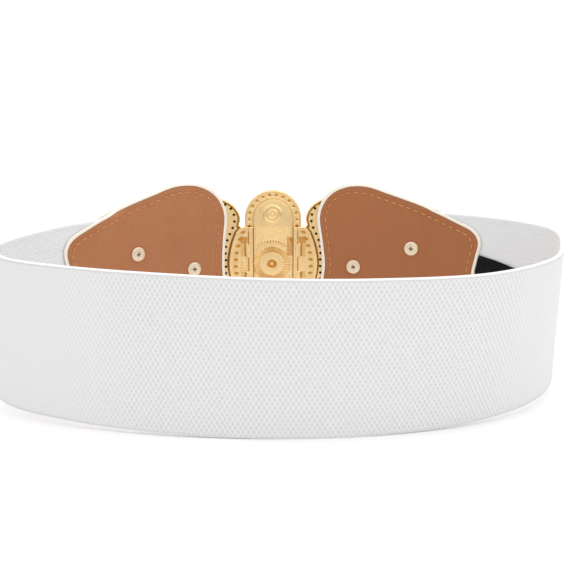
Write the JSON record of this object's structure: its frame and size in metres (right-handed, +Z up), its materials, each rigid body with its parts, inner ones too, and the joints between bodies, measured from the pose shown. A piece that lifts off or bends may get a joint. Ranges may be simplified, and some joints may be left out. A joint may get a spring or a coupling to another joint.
{
  "type": "elastic stretch belt with a cast buckle",
  "caption": "Wide elastic waist belt closed in a loop, with shaped leather tabs screwed to the wings of an ornate cast buckle and a tall centre medallion.",
  "frame": {"origin": "on the floor, under the middle of the belt's box", "axes": "+Z up from the edge that the belt stands on, +X along the loop's long way, +Y towards the buckle"},
  "size_m": [0.2532, 0.1676, 0.0908],
  "materials": {
    "elastic": "white fishscale elastic weave with plain selvages",
    "outer_leather": "smooth white leather with pale cut edges",
    "lining_leather": "fine-grained tan leather with orange-tan stitching",
    "buckle_metal": "polished gold plate over cast relief",
    "screw_metal": "pale nickel plate",
    "label_cloth": "black woven label, bare"
  },
  "bodies": {
    "root": {"elastic_band": "elastic", "tab_outer_left": "outer_leather", "tab_outer_right": "outer_leather", "tab_lining_left": "lining_leather", "tab_lining_right": "lining_leather", "buckle_half_left": "buckle_metal", "buckle_half_right": "buckle_metal", "medallion": "buckle_metal", "screw_left_inner": "screw_metal", "screw_left_upper": "screw_metal", "screw_left_lower": "screw_metal", "screw_right_inner": "screw_metal", "screw_right_upper": "screw_metal", "screw_right_lower": "screw_metal", "label": "label_cloth"}
  },
  "joints": []
}
